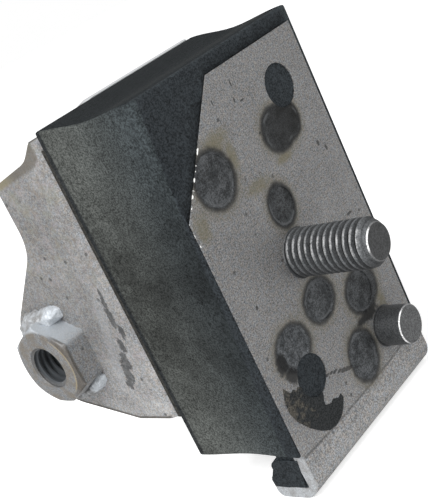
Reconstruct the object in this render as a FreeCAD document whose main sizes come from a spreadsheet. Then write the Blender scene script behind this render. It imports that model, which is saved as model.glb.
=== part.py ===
import FreeCAD, Part
import Sketcher
import os

# Transmission mount: a rubber block bonded between a hooked front plate and a clevis bracket.
# Origin: on the stud's axis, in the outer face of the front plate. X runs to the right when
# the plate is looked at, Y runs back into the rubber, Z is up. The stud points along -Y.

SIZES = [
    # front plate, 1/8 in sheet with a channel hooked back along its lower edge
    ("plate_thickness", 3.2),
    ("plate_left", 30.0),
    ("plate_right", 32.6),
    ("plate_top", 51.1),
    ("corner_cut_across", 25.4),
    ("corner_cut_down", 26.7),
    ("hook_start", 41.2),
    ("hook_depth", 12.8),
    ("hook_reach", 13.9),
    ("hook_lip", 6.1),
    ("hook_kick", 0.7),
    ("hook_bend_radius", 0.8),
    ("hook_toe_radius", 5.6),
    ("hook_heel_radius", 2.3),
    ("weld_dent_depth", 0.25),
    # holes through the plates that the rubber flows into
    ("flow_hole_radius", 5.75),
    ("high_hole_right", 19.1),
    ("high_hole_up", 38.4),
    ("low_hole_left", 14.8),
    ("low_hole_down", 27.5),
    # retainer plate, spot-welded behind the front plate
    ("retainer_thickness", 2.5),
    ("retainer_inset", 4.0),
    ("retainer_edge", 2.8),
    # stud, 1/2 in with 13 threads to the inch, pressed in by a shoulder
    ("stud_radius", 6.35),
    ("stud_length", 24.5),
    ("stud_point", 1.4),
    ("stud_shoulder_radius", 6.6),
    ("stud_relief_radius", 5.6),
    ("relief_length", 0.4),
    ("stud_head_radius", 11.0),
    ("stud_head_height", 5.0),
    # plain locating pin, 7/16 in
    ("pin_right", 19.6),
    ("pin_down", 34.4),
    ("pin_radius", 5.55),
    ("pin_length", 8.2),
    ("pin_point", 0.6),
    ("pin_shoulder_radius", 5.8),
    ("pin_relief_radius", 5.3),
    ("pin_head_radius", 6.6),
    ("pin_head_height", 3.0),
    # rubber block and the snubber strip that fills the hook
    ("rubber_left", 30.7),
    ("rubber_right", 34.2),
    ("rubber_top", 55.3),
    ("rubber_rear", 35.3),
    ("rubber_recess", 0.05),
    ("band_width", 5.6),
    ("band_step", 0.35),
    ("lip_height", 1.6),
    ("lip_step", 0.5),
    ("snubber_end_gap", 0.3),
    ("snubber_cover", 1.6),
    ("snubber_notch", 3.5),
    # clevis bracket, 1/8 in sheet bent into two ears
    ("bracket_thickness", 3.2),
    ("bracket_bend_radius", 1.0),
    ("ear_left", 31.0),
    ("ear_right", 34.5),
    ("ear_low", 28.8),
    ("ear_neck_up", 50.3),
    ("neck_reach", 5.4),
    ("neck_rise", 3.3),
    ("neck_radius", 9.0),
    ("ear_tip_back", 60.2),
    ("ear_tip_up", 45.0),
    ("ear_tip_radius", 3.2),
    ("ear_waist_radius", 14.0),
    ("ear_foot_back", 51.0),
    ("lug_radius", 18.0),
    ("nose_reach", 34.7),
    ("base_top", 55.4),
    ("base_notch_across", 20.0),
    ("base_notch_down", 2.2),
    # bolt axis and the hex weld nut on the left ear, 1/2 in thread
    ("bolt_back", 66.8),
    ("bolt_down", 6.1),
    ("bolt_hole_radius", 6.75),
    ("nut_flats", 22.2),
    ("nut_height", 8.2),
    ("nut_face_radius", 10.3),
    ("nut_bore_radius", 5.4),
    ("nut_lead_in", 1.1),
]

# Electrode dents of the spot welds: across, up, radius.
WELD_DENTS = [
    (12.3, 29.3, 6.0),
    (-16.6, 29.1, 6.2),
    (1.1, 13.1, 4.7),
    (-0.8, -13.6, 5.3),
    (15.5, -20.5, 5.2),
    (6.2, -35.2, 5.9),
    (-16.7, -18.0, 5.4),
]

AXIS_TOLERANCE = 0.01

doc = FreeCAD.newDocument("transmission_mount")
sheet = doc.addObject("Spreadsheet::Sheet", "sizes")
for row, (alias, value) in enumerate(SIZES, start=1):
    sheet.set("A%d" % row, alias)
    sheet.set("B%d" % row, str(value))
    sheet.setAlias("B%d" % row, alias)
doc.recompute()


def bind(target, **formulas):
    """Tie properties of an object to formulas on the size sheet."""
    for name, formula in formulas.items():
        target.setExpression(name, formula)


def new_body(name):
    body = doc.addObject("PartDesign::Body", name)
    body.Label = name
    return body


def new_sketch(body, name, role, offset=None):
    """A sketch on one of the body's origin planes, moved along its normal by a formula."""
    plane = next(p for p in body.Origin.OriginFeatures if p.Role == role)
    sketch = body.newObject("Sketcher::SketchObject", name)
    sketch.AttachmentSupport = [(plane, "")]
    sketch.MapMode = "FlatFace"
    if offset is not None:
        sketch.setExpression("AttachmentOffset.Base.z", offset)
    return sketch


def fix_point(sketch, geometry, point, across, up):
    """Hold one sketch point at two formulas, measured from the sketch's origin."""
    for kind, formula in (("DistanceX", across), ("DistanceY", up)):
        index = sketch.addConstraint(Sketcher.Constraint(kind, -1, 1, geometry, point, 1.0))
        sketch.setExpression("Constraints[%d]" % index, formula)


def add_outline(sketch, corners):
    """A closed outline of straight lines whose corners follow formulas."""
    count = len(corners)
    spots = [FreeCAD.Vector(k % 7 + 1, (k * k) % 11 + 1, 0) for k in range(count)]
    first = None
    for k in range(count):
        line = sketch.addGeometry(Part.LineSegment(spots[k], spots[(k + 1) % count]))
        first = line if first is None else first
        if k:
            sketch.addConstraint(Sketcher.Constraint("Coincident", line - 1, 2, line, 1))
    sketch.addConstraint(Sketcher.Constraint("Coincident", first + count - 1, 2, first, 1))
    for k, (across, up) in enumerate(corners):
        fix_point(sketch, first + k, 1, across, up)


def add_circle(sketch, across, up, radius):
    circle = sketch.addGeometry(Part.Circle(FreeCAD.Vector(1, 1, 0), FreeCAD.Vector(0, 0, 1), 1))
    fix_point(sketch, circle, 3, across, up)
    index = sketch.addConstraint(Sketcher.Constraint("Radius", circle, 1.0))
    sketch.setExpression("Constraints[%d]" % index, radius)


def pad(body, sketch, name, length, reverse=False):
    feature = body.newObject("PartDesign::Pad", name)
    feature.Profile = sketch
    feature.Reversed = reverse
    feature.setExpression("Length", length)
    return feature


def pocket(body, sketch, name, depth, reverse=False):
    """A cut that has to take material away, or the build stops."""
    doc.recompute()
    before = body.Shape.Volume
    feature = body.newObject("PartDesign::Pocket", name)
    feature.Profile = sketch
    feature.Reversed = reverse
    feature.setExpression("Length", depth)
    doc.recompute()
    if body.Shape.Volume >= before:
        raise RuntimeError(name + " cuts nothing")
    return feature


def revolve(body, sketch, name):
    """Turn a half profile about the sketch's vertical axis."""
    feature = body.newObject("PartDesign::Revolution", name)
    feature.Profile = sketch
    feature.ReferenceAxis = (sketch, ["V_Axis"])
    feature.Angle = 360
    return feature


def size(alias):
    return float(sheet.get(alias))


def edges_along(shape, axis, spots):
    """Names of the straight edges that run along an axis through the given spots."""
    keep = [k for k in range(3) if k != axis]
    names = []
    for number, edge in enumerate(shape.Edges, start=1):
        start, end = edge.Vertexes[0].Point, edge.Vertexes[-1].Point
        if any(abs(start[k] - end[k]) > AXIS_TOLERANCE for k in keep):
            continue
        if abs(start[axis] - end[axis]) < AXIS_TOLERANCE:
            continue
        for spot in spots:
            if all(abs(start[k] - s) < AXIS_TOLERANCE for k, s in zip(keep, spot)):
                names.append("Edge%d" % number)
    return names


def round_edges(body, name, axis, spots, radius):
    """Round the straight edges through some spots, by a radius from the sheet."""
    doc.recompute()
    names = edges_along(body.Shape, axis, spots)
    if not names:
        raise RuntimeError(name + " finds no edge")
    solid = body.Tip
    feature = body.newObject("PartDesign::Fillet", name)
    feature.Base = (solid, names)
    feature.setExpression("Radius", radius)
    doc.recompute()
    return feature


def make_front_plate():
    """Side profile with the hook, padded across the width, then trimmed and pierced."""
    body = new_body("front_plate")
    profile = new_sketch(body, "hook_profile", "YZ_Plane", "-sizes.plate_left")
    floor = "-(sizes.hook_start + sizes.hook_depth)"
    wall = "sizes.plate_thickness"
    add_outline(profile, [
        ("0", "sizes.plate_top"),
        (wall, "sizes.plate_top"),
        (wall, "-sizes.hook_start"),
        (wall + " - sizes.hook_kick", floor + " + " + wall),
        ("sizes.hook_reach - " + wall, floor + " + " + wall),
        ("sizes.hook_reach - " + wall, floor + " + sizes.hook_lip"),
        ("sizes.hook_reach", floor + " + sizes.hook_lip"),
        ("sizes.hook_reach", floor),
        ("-sizes.hook_kick", floor),
        ("0", "-sizes.hook_start"),
    ])
    pad(body, profile, "sheet", "sizes.plate_left + sizes.plate_right")
    low = -(size("hook_start") + size("hook_depth"))
    thick = size("plate_thickness")
    reach = size("hook_reach")
    kick = size("hook_kick")
    inner = [(thick - kick, low + thick), (reach - thick, low + thick)]
    round_edges(body, "inner_bends", 0, inner, "sizes.hook_bend_radius")
    round_edges(body, "toe_bend", 0, [(-kick, low)], "sizes.hook_toe_radius")
    round_edges(body, "heel_bend", 0, [(reach, low)], "sizes.hook_heel_radius")

    corner = new_sketch(body, "corner_outline", "XZ_Plane")
    add_outline(corner, [
        ("-sizes.plate_left", "sizes.plate_top - sizes.corner_cut_down"),
        ("-sizes.plate_left + sizes.corner_cut_across", "sizes.plate_top"),
        ("-sizes.plate_left", "sizes.plate_top"),
    ])
    pocket(body, corner, "corner_cut", "sizes.plate_thickness")

    holes = new_sketch(body, "hole_outlines", "XZ_Plane")
    add_plate_holes(holes)
    pocket(body, holes, "holes", "sizes.plate_thickness")

    dents = new_sketch(body, "weld_outlines", "XZ_Plane")
    for across, up, radius in WELD_DENTS:
        add_circle(dents, str(across), str(up), str(radius))
    pocket(body, dents, "weld_dents", "sizes.weld_dent_depth")
    return body


def add_plate_holes(sketch):
    """The stud, pin and flow holes, in line through both plates."""
    add_circle(sketch, "0", "0", "sizes.stud_shoulder_radius")
    add_circle(sketch, "sizes.pin_right", "-sizes.pin_down", "sizes.pin_shoulder_radius")
    add_circle(sketch, "sizes.high_hole_right", "sizes.high_hole_up", "sizes.flow_hole_radius")
    add_circle(sketch, "-sizes.low_hole_left", "-sizes.low_hole_down", "sizes.flow_hole_radius")


def make_retainer_plate():
    """Flat plate behind the front plate, with the same holes and a smaller outline."""
    body = new_body("retainer_plate")
    outline = new_sketch(body, "retainer_outline", "XZ_Plane", "-sizes.plate_thickness")
    left = "-(sizes.plate_left - sizes.retainer_inset)"
    right = "sizes.plate_right - sizes.retainer_inset"
    top = "sizes.plate_top - sizes.retainer_inset"
    low = "-(sizes.pin_down + sizes.pin_shoulder_radius + sizes.retainer_edge)"
    add_outline(outline, [
        (left, low),
        (right, low),
        (right, top),
        (left + " + sizes.corner_cut_across", top),
        (left, top + " - sizes.corner_cut_down"),
    ])
    add_plate_holes(outline)
    pad(body, outline, "sheet", "sizes.retainer_thickness", reverse=True)
    return body


def make_headed_pin(name):
    """A turned stud or pin: head behind the plates, shoulder in them, relief, plain end."""
    body = new_body(name)
    kind = "sizes." + name.split("_")[1]
    radius, shoulder = kind + "_radius", kind + "_shoulder_radius"
    relief, head = kind + "_relief_radius", kind + "_head_radius"
    end = "-" + kind + "_length"
    seat = "(sizes.plate_thickness + sizes.retainer_thickness)"
    back = seat + " + " + kind + "_head_height"
    profile = new_sketch(body, name + "_profile", "XY_Plane")
    add_outline(profile, [
        ("0", end),
        (radius + " - " + kind + "_point", end),
        (radius, end + " + " + kind + "_point"),
        (radius, "-sizes.relief_length"),
        (relief, "-sizes.relief_length"),
        (relief, "0"),
        (shoulder, "0"),
        (shoulder, seat),
        (head, seat),
        (head, back),
        ("0", back),
    ])
    revolve(body, profile, "turned")
    return body


def make_rubber_form():
    """The moulded outside of the rubber: block, lip behind it and snubber below it."""
    body = new_body("rubber_form")
    block = new_sketch(body, "block_outline", "XZ_Plane", "-sizes.rubber_rear")
    add_outline(block, [
        ("-sizes.rubber_left", "-sizes.hook_start"),
        ("sizes.rubber_right", "-sizes.hook_start"),
        ("sizes.rubber_right", "sizes.rubber_top"),
        ("-sizes.rubber_left", "sizes.rubber_top"),
    ])
    front = "(sizes.weld_dent_depth + sizes.rubber_recess)"
    pad(body, block, "block", "sizes.rubber_rear - " + front)

    lip = new_sketch(body, "lip_outline", "XZ_Plane", "-(sizes.rubber_rear + sizes.lip_height)")
    add_outline(lip, [
        ("-(sizes.rubber_left - sizes.lip_step)", "-sizes.ear_low"),
        ("sizes.rubber_right - sizes.lip_step", "-sizes.ear_low"),
        ("sizes.rubber_right - sizes.lip_step", "sizes.ear_neck_up"),
        ("-(sizes.rubber_left - sizes.lip_step)", "sizes.ear_neck_up"),
    ])
    pad(body, lip, "rear_lip", "sizes.lip_height + sizes.plate_thickness")

    snubber = new_sketch(body, "snubber_outline", "YZ_Plane", "-(sizes.plate_left - sizes.snubber_end_gap)")
    buried = "-(sizes.hook_start - sizes.plate_thickness)"
    floor = "-(sizes.hook_start + sizes.hook_depth - sizes.plate_thickness * 3 / 4)"
    back = "(sizes.hook_reach - sizes.plate_thickness + sizes.snubber_cover)"
    shoulder = "-(sizes.hook_start + sizes.hook_lip / 2)"
    add_outline(snubber, [
        ("sizes.plate_thickness / 2", buried),
        ("sizes.plate_thickness / 2", floor),
        (back, floor),
        (back, shoulder),
        (back + " - sizes.snubber_notch", "-sizes.hook_start"),
        (back + " - sizes.snubber_notch", buried),
    ])
    pad(body, snubber, "snubber", "sizes.plate_left + sizes.plate_right - 2 * sizes.snubber_end_gap")

    band = new_sketch(body, "band_outline", "YZ_Plane", "-sizes.rubber_left")
    add_outline(band, [
        ("0", "sizes.plate_top - sizes.corner_cut_down"),
        ("0", "-sizes.hook_start"),
        ("sizes.band_width", "-sizes.hook_start"),
    ])
    pocket(body, band, "edge_band", "sizes.band_step", reverse=True)
    return body


def subtract(name, base, tool):
    cut = doc.addObject("Part::Cut", name)
    cut.Base = base
    cut.Tool = tool
    return cut


def make_rubber_block(form, inserts):
    """Everything that was laid in the mould is taken out of the moulded form."""
    block = form
    for insert in inserts:
        block = subtract("rubber_round_" + insert.Name, block, insert)
    block.Label = "rubber_block"
    return block


def make_bracket():
    """A U channel of bent sheet whose two walls are trimmed to the ear's outline."""
    body = new_body("mounting_bracket")
    wall = "sizes.bracket_thickness"
    channel = new_sketch(body, "channel_outline", "XY_Plane", "-sizes.ear_low")
    far = "(sizes.bolt_back + sizes.nose_reach)"
    add_outline(channel, [
        ("-sizes.ear_left", "sizes.rubber_rear"),
        ("sizes.ear_right", "sizes.rubber_rear"),
        ("sizes.ear_right", far),
        ("sizes.ear_right - " + wall, far),
        ("sizes.ear_right - " + wall, "sizes.rubber_rear + " + wall),
        ("-sizes.ear_left + " + wall, "sizes.rubber_rear + " + wall),
        ("-sizes.ear_left + " + wall, far),
        ("-sizes.ear_left", far),
    ])
    pad(body, channel, "channel", "sizes.base_top + sizes.ear_low")
    thick = size("bracket_thickness")
    left, right, rear = -size("ear_left"), size("ear_right"), size("rubber_rear")
    round_edges(body, "outer_bends", 2, [(left, rear), (right, rear)],
                "sizes.bracket_bend_radius + sizes.bracket_thickness")
    inner = [(left + thick, rear + thick), (right - thick, rear + thick)]
    round_edges(body, "inner_bends", 2, inner, "sizes.bracket_bend_radius")

    trim = new_sketch(body, "ear_trim", "YZ_Plane", "-sizes.ear_left")
    shoulder = "(sizes.bolt_back - sizes.bolt_down + sizes.lug_radius * sqrt(2))"
    base_back = "sizes.rubber_rear + " + wall
    top_slope = "(sizes.ear_neck_up - sizes.ear_tip_up) / (sizes.ear_tip_back - (" + base_back + "))"
    add_outline(trim, [
        (base_back, "-sizes.ear_low"),
        ("sizes.ear_foot_back", "-sizes.ear_low"),
        (far, shoulder + " - " + far),
        ("sizes.ear_tip_back", shoulder + " - sizes.ear_tip_back"),
        ("sizes.ear_tip_back", "sizes.ear_tip_up"),
        (base_back + " + sizes.neck_reach",
         "sizes.ear_neck_up - sizes.neck_reach * " + top_slope),
        (base_back, "sizes.ear_neck_up + sizes.neck_rise"),
        (base_back, "sizes.base_top + " + wall),
        (far + " + " + wall, "sizes.base_top + " + wall),
        (far + " + " + wall, "-sizes.ear_low - " + wall),
        (base_back, "-sizes.ear_low - " + wall),
    ])
    pocket(body, trim, "ear_outline", "sizes.ear_left + sizes.ear_right", reverse=True)
    tip = size("ear_tip_back")
    line = size("bolt_back") - size("bolt_down") + size("lug_radius") * 2 ** 0.5
    nose = size("bolt_back") + size("nose_reach")
    round_edges(body, "lug_nose", 0, [(nose, line - nose)], "sizes.lug_radius")
    round_edges(body, "ear_waist", 0, [(tip, line - tip)], "sizes.ear_waist_radius")
    round_edges(body, "ear_tip", 0, [(tip, size("ear_tip_up"))], "sizes.ear_tip_radius")
    back, fall = rear + thick, size("ear_neck_up") - size("ear_tip_up")
    neck = size("neck_reach")
    bend = (back + neck, size("ear_neck_up") - neck * fall / (tip - back))
    round_edges(body, "ear_neck", 0, [bend], "sizes.neck_radius")

    notch = new_sketch(body, "base_notch_outline", "XZ_Plane", "-(" + base_back + ")")
    add_outline(notch, [
        ("-sizes.ear_left", "sizes.base_top - sizes.base_notch_down"),
        ("-sizes.ear_left + sizes.base_notch_across * 0.85",
         "sizes.base_top - sizes.base_notch_down / 2"),
        ("-sizes.ear_left + sizes.base_notch_across * 1.1", "sizes.base_top"),
        ("-sizes.ear_left", "sizes.base_top"),
    ])
    pocket(body, notch, "base_notch", wall, reverse=True)

    hole = new_sketch(body, "bolt_hole_outline", "YZ_Plane", "-sizes.ear_left")
    add_circle(hole, "sizes.bolt_back", "-sizes.bolt_down", "sizes.bolt_hole_radius")
    pocket(body, hole, "bolt_holes", "sizes.ear_left + sizes.ear_right", reverse=True)
    return body


def make_weld_nut():
    """A hexagon with its outer corners turned off, bored to the thread's minor diameter."""
    blank = doc.addObject("Part::Prism", "nut_blank")
    blank.Polygon = 6
    bind(blank, Circumradius="sizes.nut_flats / sqrt(3)", Height="sizes.nut_height")
    crown = doc.addObject("Part::Cone", "nut_crown")
    bind(crown, Radius1="sizes.nut_face_radius + sizes.nut_height * sqrt(3)",
         Radius2="sizes.nut_face_radius", Height="sizes.nut_height")
    hexagon = doc.addObject("Part::Common", "nut_hexagon")
    hexagon.Base = blank
    hexagon.Tool = crown
    bore = doc.addObject("Part::Cylinder", "nut_bore")
    bind(bore, Radius="sizes.nut_bore_radius", Height="sizes.nut_height")
    bored = subtract("nut_bored", hexagon, bore)
    lead_in = doc.addObject("Part::Cone", "nut_lead")
    bind(lead_in, Radius1="sizes.nut_bore_radius",
         Radius2="sizes.nut_bore_radius + sizes.nut_lead_in", Height="sizes.nut_lead_in")
    lead_in.setExpression("Placement.Base.z", "sizes.nut_height - sizes.nut_lead_in")
    nut = subtract("nut_finished", bored, lead_in)
    nut.Label = "weld_nut"
    along_minus_x = FreeCAD.Rotation(FreeCAD.Vector(0, 1, 0), -90)
    nut.Placement = FreeCAD.Placement(FreeCAD.Vector(0, 0, 0), along_minus_x)
    nut.setExpression("Placement.Base.x", "-sizes.ear_left")
    nut.setExpression("Placement.Base.y", "sizes.bolt_back")
    nut.setExpression("Placement.Base.z", "-sizes.bolt_down")
    return nut


def check_document(parts):
    """Stop before anything is written if a feature failed or a solid is broken."""
    for item in doc.Objects:
        if "Invalid" in item.State or "Error" in item.State:
            raise RuntimeError(item.Name + " failed: " + ", ".join(item.State))
    for part in parts:
        if part.Shape.isNull() or not part.Shape.isValid():
            raise RuntimeError(part.Label + " is not a valid shape")


front_plate = make_front_plate()
retainer_plate = make_retainer_plate()
mounting_stud = make_headed_pin("mounting_stud")
locating_pin = make_headed_pin("locating_pin")
locating_pin.setExpression("Placement.Base.x", "sizes.pin_right")
locating_pin.setExpression("Placement.Base.z", "-sizes.pin_down")
mounting_bracket = make_bracket()
weld_nut = make_weld_nut()
doc.recompute()
rubber_form = make_rubber_form()
rubber_block = make_rubber_block(
    rubber_form, [front_plate, retainer_plate, mounting_stud, locating_pin, mounting_bracket])
doc.recompute()

PARTS = [front_plate, retainer_plate, mounting_stud, locating_pin, rubber_block,
         mounting_bracket, weld_nut]
check_document(PARTS)
os.makedirs("parts", exist_ok=True)
for part in PARTS:
    part.Shape.exportStep("parts/" + part.Label + ".step")
    box = part.Shape.BoundBox
    print("%-18s solids %d  volume %.0f mm3  x %.1f..%.1f  y %.1f..%.1f  z %.1f..%.1f" % (
        part.Label, len(part.Shape.Solids), part.Shape.Volume,
        box.XMin, box.XMax, box.YMin, box.YMax, box.ZMin, box.ZMax))
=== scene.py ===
# %% [markdown]
# # A transmission mount
# This lesson dresses the CAD model of a transmission mount: a rubber block bonded between a
# hooked front plate with a threaded stud and a bent clevis bracket with a weld nut. The packed
# CAD model is the frame. Rigid pieces start as copies of its nodes or are modelled over them,
# and the rubber, which is only a plain solid there, is modelled again. All sizes below are
# in millimetres and are turned to metres by one factor, MM.

# %% Load the frame
import bmesh
import bpy
import math
from mathutils import Matrix, Vector


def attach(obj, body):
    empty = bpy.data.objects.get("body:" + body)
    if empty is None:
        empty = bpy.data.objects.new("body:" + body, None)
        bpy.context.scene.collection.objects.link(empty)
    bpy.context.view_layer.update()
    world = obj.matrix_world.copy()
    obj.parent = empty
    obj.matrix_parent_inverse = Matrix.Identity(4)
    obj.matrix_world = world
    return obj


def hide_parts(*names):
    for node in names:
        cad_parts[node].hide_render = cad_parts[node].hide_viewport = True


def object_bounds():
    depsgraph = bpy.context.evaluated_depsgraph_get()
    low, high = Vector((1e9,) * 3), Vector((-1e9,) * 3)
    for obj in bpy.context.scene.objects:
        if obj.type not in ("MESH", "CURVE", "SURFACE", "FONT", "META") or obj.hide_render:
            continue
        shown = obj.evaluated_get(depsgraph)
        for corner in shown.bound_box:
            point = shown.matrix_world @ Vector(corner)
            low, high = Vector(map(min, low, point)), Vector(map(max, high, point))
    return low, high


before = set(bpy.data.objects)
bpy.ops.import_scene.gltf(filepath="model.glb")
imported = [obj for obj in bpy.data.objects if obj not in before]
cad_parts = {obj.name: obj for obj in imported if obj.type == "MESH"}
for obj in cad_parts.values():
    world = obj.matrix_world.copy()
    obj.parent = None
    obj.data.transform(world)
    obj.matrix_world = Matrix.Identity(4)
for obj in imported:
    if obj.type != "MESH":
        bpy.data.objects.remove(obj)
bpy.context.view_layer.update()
MM = 0.001
print("CAD nodes:", sorted(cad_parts))

# %% [markdown]
# ## The camera
# The picture was taken from the front left and a little above, with the camera rolled so that
# the mount leans. A camera is placed by its eye and by three directions: the picture's right,
# the picture's up, and straight back from the picture.

# %% Camera
EYE = Vector((-186.859, -170.005, 85.383)) * MM
RIGHT = Vector((0.57134912, -0.70822779, -0.41469697))
UP = Vector((0.49135092, -0.10954659, 0.86404503))
BACK = Vector((-0.65736934, -0.69743311, 0.28539903))
LENS = 75.71

bpy.ops.object.camera_add()
camera = bpy.context.object
camera.matrix_world = Matrix.Translation(EYE) @ Matrix((RIGHT, UP, BACK)).transposed().to_4x4()
camera.data.lens = LENS
camera.data.clip_start = 10 * MM
bpy.context.scene.camera = camera
bpy.context.scene.view_settings.view_transform = "Standard"
print("camera is", round(EYE.length / MM), "mm from the stud's foot")

# %% [markdown]
# ## Shader maths
# A material is a chain of nodes. Written out node by node it is hard to read, so a number
# that comes out of a node is wrapped in a small class that knows Python's own operators:
# `1 - mask` then adds the Math node by itself. Every other node comes from one method, `node`.


# %% A number that can be reckoned with
class Amount:
    """What comes out of a node: a number, a vector or a colour."""

    def __init__(self, finish, socket):
        self.finish = finish
        self.socket = socket

    def math(self, operation, first, second=0.0):
        return self.finish.node("ShaderNodeMath", {"operation": operation},
                                {0: first, 1: second})

    def __add__(self, other):
        return self.math("ADD", self, other)

    def __sub__(self, other):
        return self.math("SUBTRACT", self, other)

    def __rsub__(self, other):
        return self.math("SUBTRACT", other, self)

    def __mul__(self, other):
        return self.math("MULTIPLY", self, other)

    def __truediv__(self, other):
        return self.math("DIVIDE", self, other)

    def __pow__(self, other):
        return self.math("POWER", self, other)

    def __abs__(self):
        return self.math("ABSOLUTE", self)

    __radd__ = __add__
    __rmul__ = __mul__

    def least(self, other, soft=0.0):
        """The smaller of two numbers; the corner between them is rounded by soft."""
        return self.finish.node("ShaderNodeMath", {"operation": "SMOOTH_MIN"},
                                {0: self, 1: other, 2: soft})

    def most(self, other):
        return self.math("MAXIMUM", self, other)

    def ramp(self, low, high):
        """0 below low, 1 above high and smooth between; low may be the larger one."""
        if low > high:
            return 1 - self.ramp(high, low)
        return self.finish.node(
            "ShaderNodeMapRange", {"interpolation_type": "SMOOTHSTEP"},
            {"Value": self, "From Min": low, "From Max": high})


# %% A material and the nodes it is made from
class Finish:
    """One material on a Principled shader, measured in millimetres of the object's place."""

    def __init__(self, name, **shader):
        self.material = bpy.data.materials.new(name)
        self.material.use_nodes = True
        self.tree = self.material.node_tree
        self.shader = self.tree.nodes["Principled BSDF"]
        for socket, value in shader.items():
            self.shader.inputs[socket.replace("_", " ")].default_value = value
        here = self.node("ShaderNodeTexCoord", out="Object")
        self.place = self.vector("SCALE", here, Scale=1 / MM)
        self.x = self.node("ShaderNodeSeparateXYZ", inputs={0: self.place}, out=0)
        self.y = self.node("ShaderNodeSeparateXYZ", inputs={0: self.place}, out=1)
        self.z = self.node("ShaderNodeSeparateXYZ", inputs={0: self.place}, out=2)

    def node(self, kind, settings=None, inputs=None, out=0):
        made = self.tree.nodes.new(kind)
        for setting, value in (settings or {}).items():
            setattr(made, setting, value)
        for key, value in (inputs or {}).items():
            if isinstance(value, Amount):
                self.tree.links.new(value.socket, made.inputs[key])
            else:
                made.inputs[key].default_value = value
        return Amount(self, made.outputs[out])

    def vector(self, operation, first, second=(0, 0, 0), out=0, **more):
        return self.node("ShaderNodeVectorMath", {"operation": operation},
                         {0: first, 1: second, **more}, out)

    def noise(self, size, detail=2.0, rough=0.5, shift=0.0):
        """Cloudy noise, about 0.5 on average, whose blotches are size millimetres across."""
        place = self.vector("ADD", self.place, (shift, shift, shift)) if shift else self.place
        return self.node("ShaderNodeTexNoise", None, {
            "Vector": place, "Scale": 1 / size, "Detail": detail, "Roughness": rough})

    def grain(self, size=0.40, shift=0.0):
        """Fine grain that fills the whole range from 0 to 1."""
        return self.noise(size, 2.0, 0.8, shift).ramp(0.36, 0.64)

    def specks(self, size, share):
        """Small round specks, one in each cell of the given size, for a share of the cells."""
        cells = {"Vector": self.place, "Scale": 1 / size}
        near = self.node("ShaderNodeTexVoronoi", None, cells)
        lot = self.node("ShaderNodeTexVoronoi", None, cells, out="Color")
        chance = self.node("ShaderNodeSeparateColor", inputs={0: lot})
        return near.ramp(0.3, 0.12) * chance.ramp(share + 0.01, share)

    def tint(self, share, under, over):
        """One colour laid over another by a share; sockets 6 and 7 take the colours."""
        made = {}
        for key, colour in ((6, under), (7, over)):
            made[key] = colour if isinstance(colour, Amount) else (*colour, 1.0)
        return self.node("ShaderNodeMix", {"data_type": "RGBA"}, {0: share, **made}, out=2)

    def shade(self, colour, amount):
        """A colour made lighter or darker by a number around 1."""
        return self.vector("SCALE", colour, Scale=amount)

    def feed(self, socket, amount):
        self.tree.links.new(amount.socket, self.shader.inputs[socket])

    def bump(self, height):
        """Let a height in millimetres tilt the light."""
        normal = self.node("ShaderNodeBump", None, {"Height": height, "Distance": MM})
        self.feed("Normal", normal)


def grey(level, warm=0.0):
    """A linear colour from a grey as it is seen on screen, 0 to 255, and a warmer tilt."""
    seen = [level * (1 + warm), level, level * (1 - warm)]
    return tuple((max(part, 0) / 255) ** 2.2 for part in seen)


# %% [markdown]
# ## Floor and light
# A pale floor carries the shadow. To the camera and in reflections the world is white, and the
# floor glows a little to the camera, so nothing shows where it ends. The light is a broad
# lamp above to the left and a weaker one in front, on top of an even world.

# %% World
WORLD_LIGHT = 0.55

world = bpy.data.worlds.new("studio")
world.use_nodes = True
bpy.context.scene.world = world
nodes = world.node_tree.nodes
links = world.node_tree.links
path = nodes.new("ShaderNodeLightPath")
seen = path.outputs["Is Camera Ray"]
for ray in ("Is Transmission Ray", "Is Glossy Ray"):
    either = nodes.new("ShaderNodeMath")
    either.operation = "MAXIMUM"
    links.new(seen, either.inputs[0])
    links.new(path.outputs[ray], either.inputs[1])
    seen = either.outputs[0]
level = nodes.new("ShaderNodeMapRange")
links.new(seen, level.inputs["Value"])
level.inputs["To Min"].default_value = WORLD_LIGHT
links.new(level.outputs[0], nodes["Background"].inputs["Strength"])
nodes["Background"].inputs["Color"].default_value = (1, 1, 1, 1)
print("world strength", WORLD_LIGHT)

# %% Floor
FLOOR_SIZE = 4.0
FLOOR_COLOUR = (0.8, 0.8, 0.8, 1)
FLOOR_GLOW = 0.60

bpy.ops.object.select_all(action="DESELECT")
bpy.ops.mesh.primitive_plane_add(size=FLOOR_SIZE, location=(0, 0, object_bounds()[0].z))
floor = bpy.context.object
floor.name = "floor"
paper = bpy.data.materials.new("white_paper")
paper.use_nodes = True
nodes = paper.node_tree.nodes
links = paper.node_tree.links
shader = nodes["Principled BSDF"]
shader.inputs["Base Color"].default_value = FLOOR_COLOUR
shader.inputs["Roughness"].default_value = 0.9
shader.inputs["Specular IOR Level"].default_value = 0.1
path = nodes.new("ShaderNodeLightPath")
glow = nodes.new("ShaderNodeMath")
glow.operation = "MULTIPLY"
glow.inputs[1].default_value = FLOOR_GLOW
links.new(path.outputs["Is Camera Ray"], glow.inputs[0])
shader.inputs["Emission Color"].default_value = (1, 1, 1, 1)
links.new(glow.outputs[0], shader.inputs["Emission Strength"])
floor.data.materials.append(paper)
print("floor at z =", round(floor.location.z / MM, 1), "mm")


# %% Lamps
LAMPS = {"key": ((-0.55, -0.10, 0.60), 0.45, 7.0), "fill": ((0.10, -0.80, 0.25), 0.60, 2.0)}
LAMP_AIM = Vector((0, 0.03, 0))


def lamp(name, place, size, power):
    """A square lamp that looks at the middle of the mount."""
    bpy.ops.object.light_add(type="AREA", location=place)
    light = bpy.context.object
    light.name = name
    light.data.size = size
    light.data.energy = power
    light.visible_camera = False
    aim = LAMP_AIM - light.location
    light.rotation_euler = aim.to_track_quat("-Z", "Y").to_euler()


for name, settings in LAMPS.items():
    lamp(name, *settings)
print("lamps:", list(LAMPS))

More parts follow.
